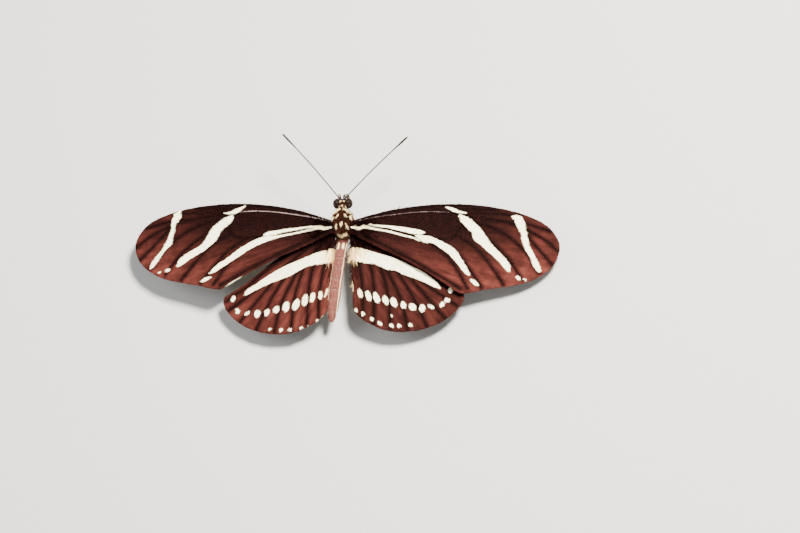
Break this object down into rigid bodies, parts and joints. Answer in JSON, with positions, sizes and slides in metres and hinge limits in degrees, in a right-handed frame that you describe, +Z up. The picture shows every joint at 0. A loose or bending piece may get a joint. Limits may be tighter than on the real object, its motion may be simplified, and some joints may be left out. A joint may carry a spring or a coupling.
{
  "type": "zebra longwing butterfly",
  "caption": "Life-size long-winged butterfly at rest on its feet, wings spread nearly flat, dark with pale stripes and spot rows.",
  "frame": {"origin": "on the floor that the feet stand on, at the middle of the object's footprint box", "axes": "+Y towards the head, +X towards the animal's right wing tip, +Z up"},
  "size_m": [0.0856, 0.0398, 0.0145],
  "materials": {
    "wing": "matte scales",
    "body": "short fur and scales",
    "abdomen": "flat scales",
    "horn": "satin",
    "eye": "gloss facets"
  },
  "bodies": {
    "root": {"thorax": "body", "head": "body", "abdomen": "abdomen", "proboscis": "horn", "eye_left": "eye", "eye_right": "eye", "antenna_left": "horn", "antenna_right": "horn", "palp_left": "body", "palp_right": "body", "forewing_left": "wing", "forewing_right": "wing", "hindwing_left": "wing", "hindwing_right": "wing", "foreleg_left": "horn", "foreleg_right": "horn", "midleg_left": "horn", "midleg_right": "horn", "hindleg_left": "horn", "hindleg_right": "horn"}
  },
  "joints": []
}
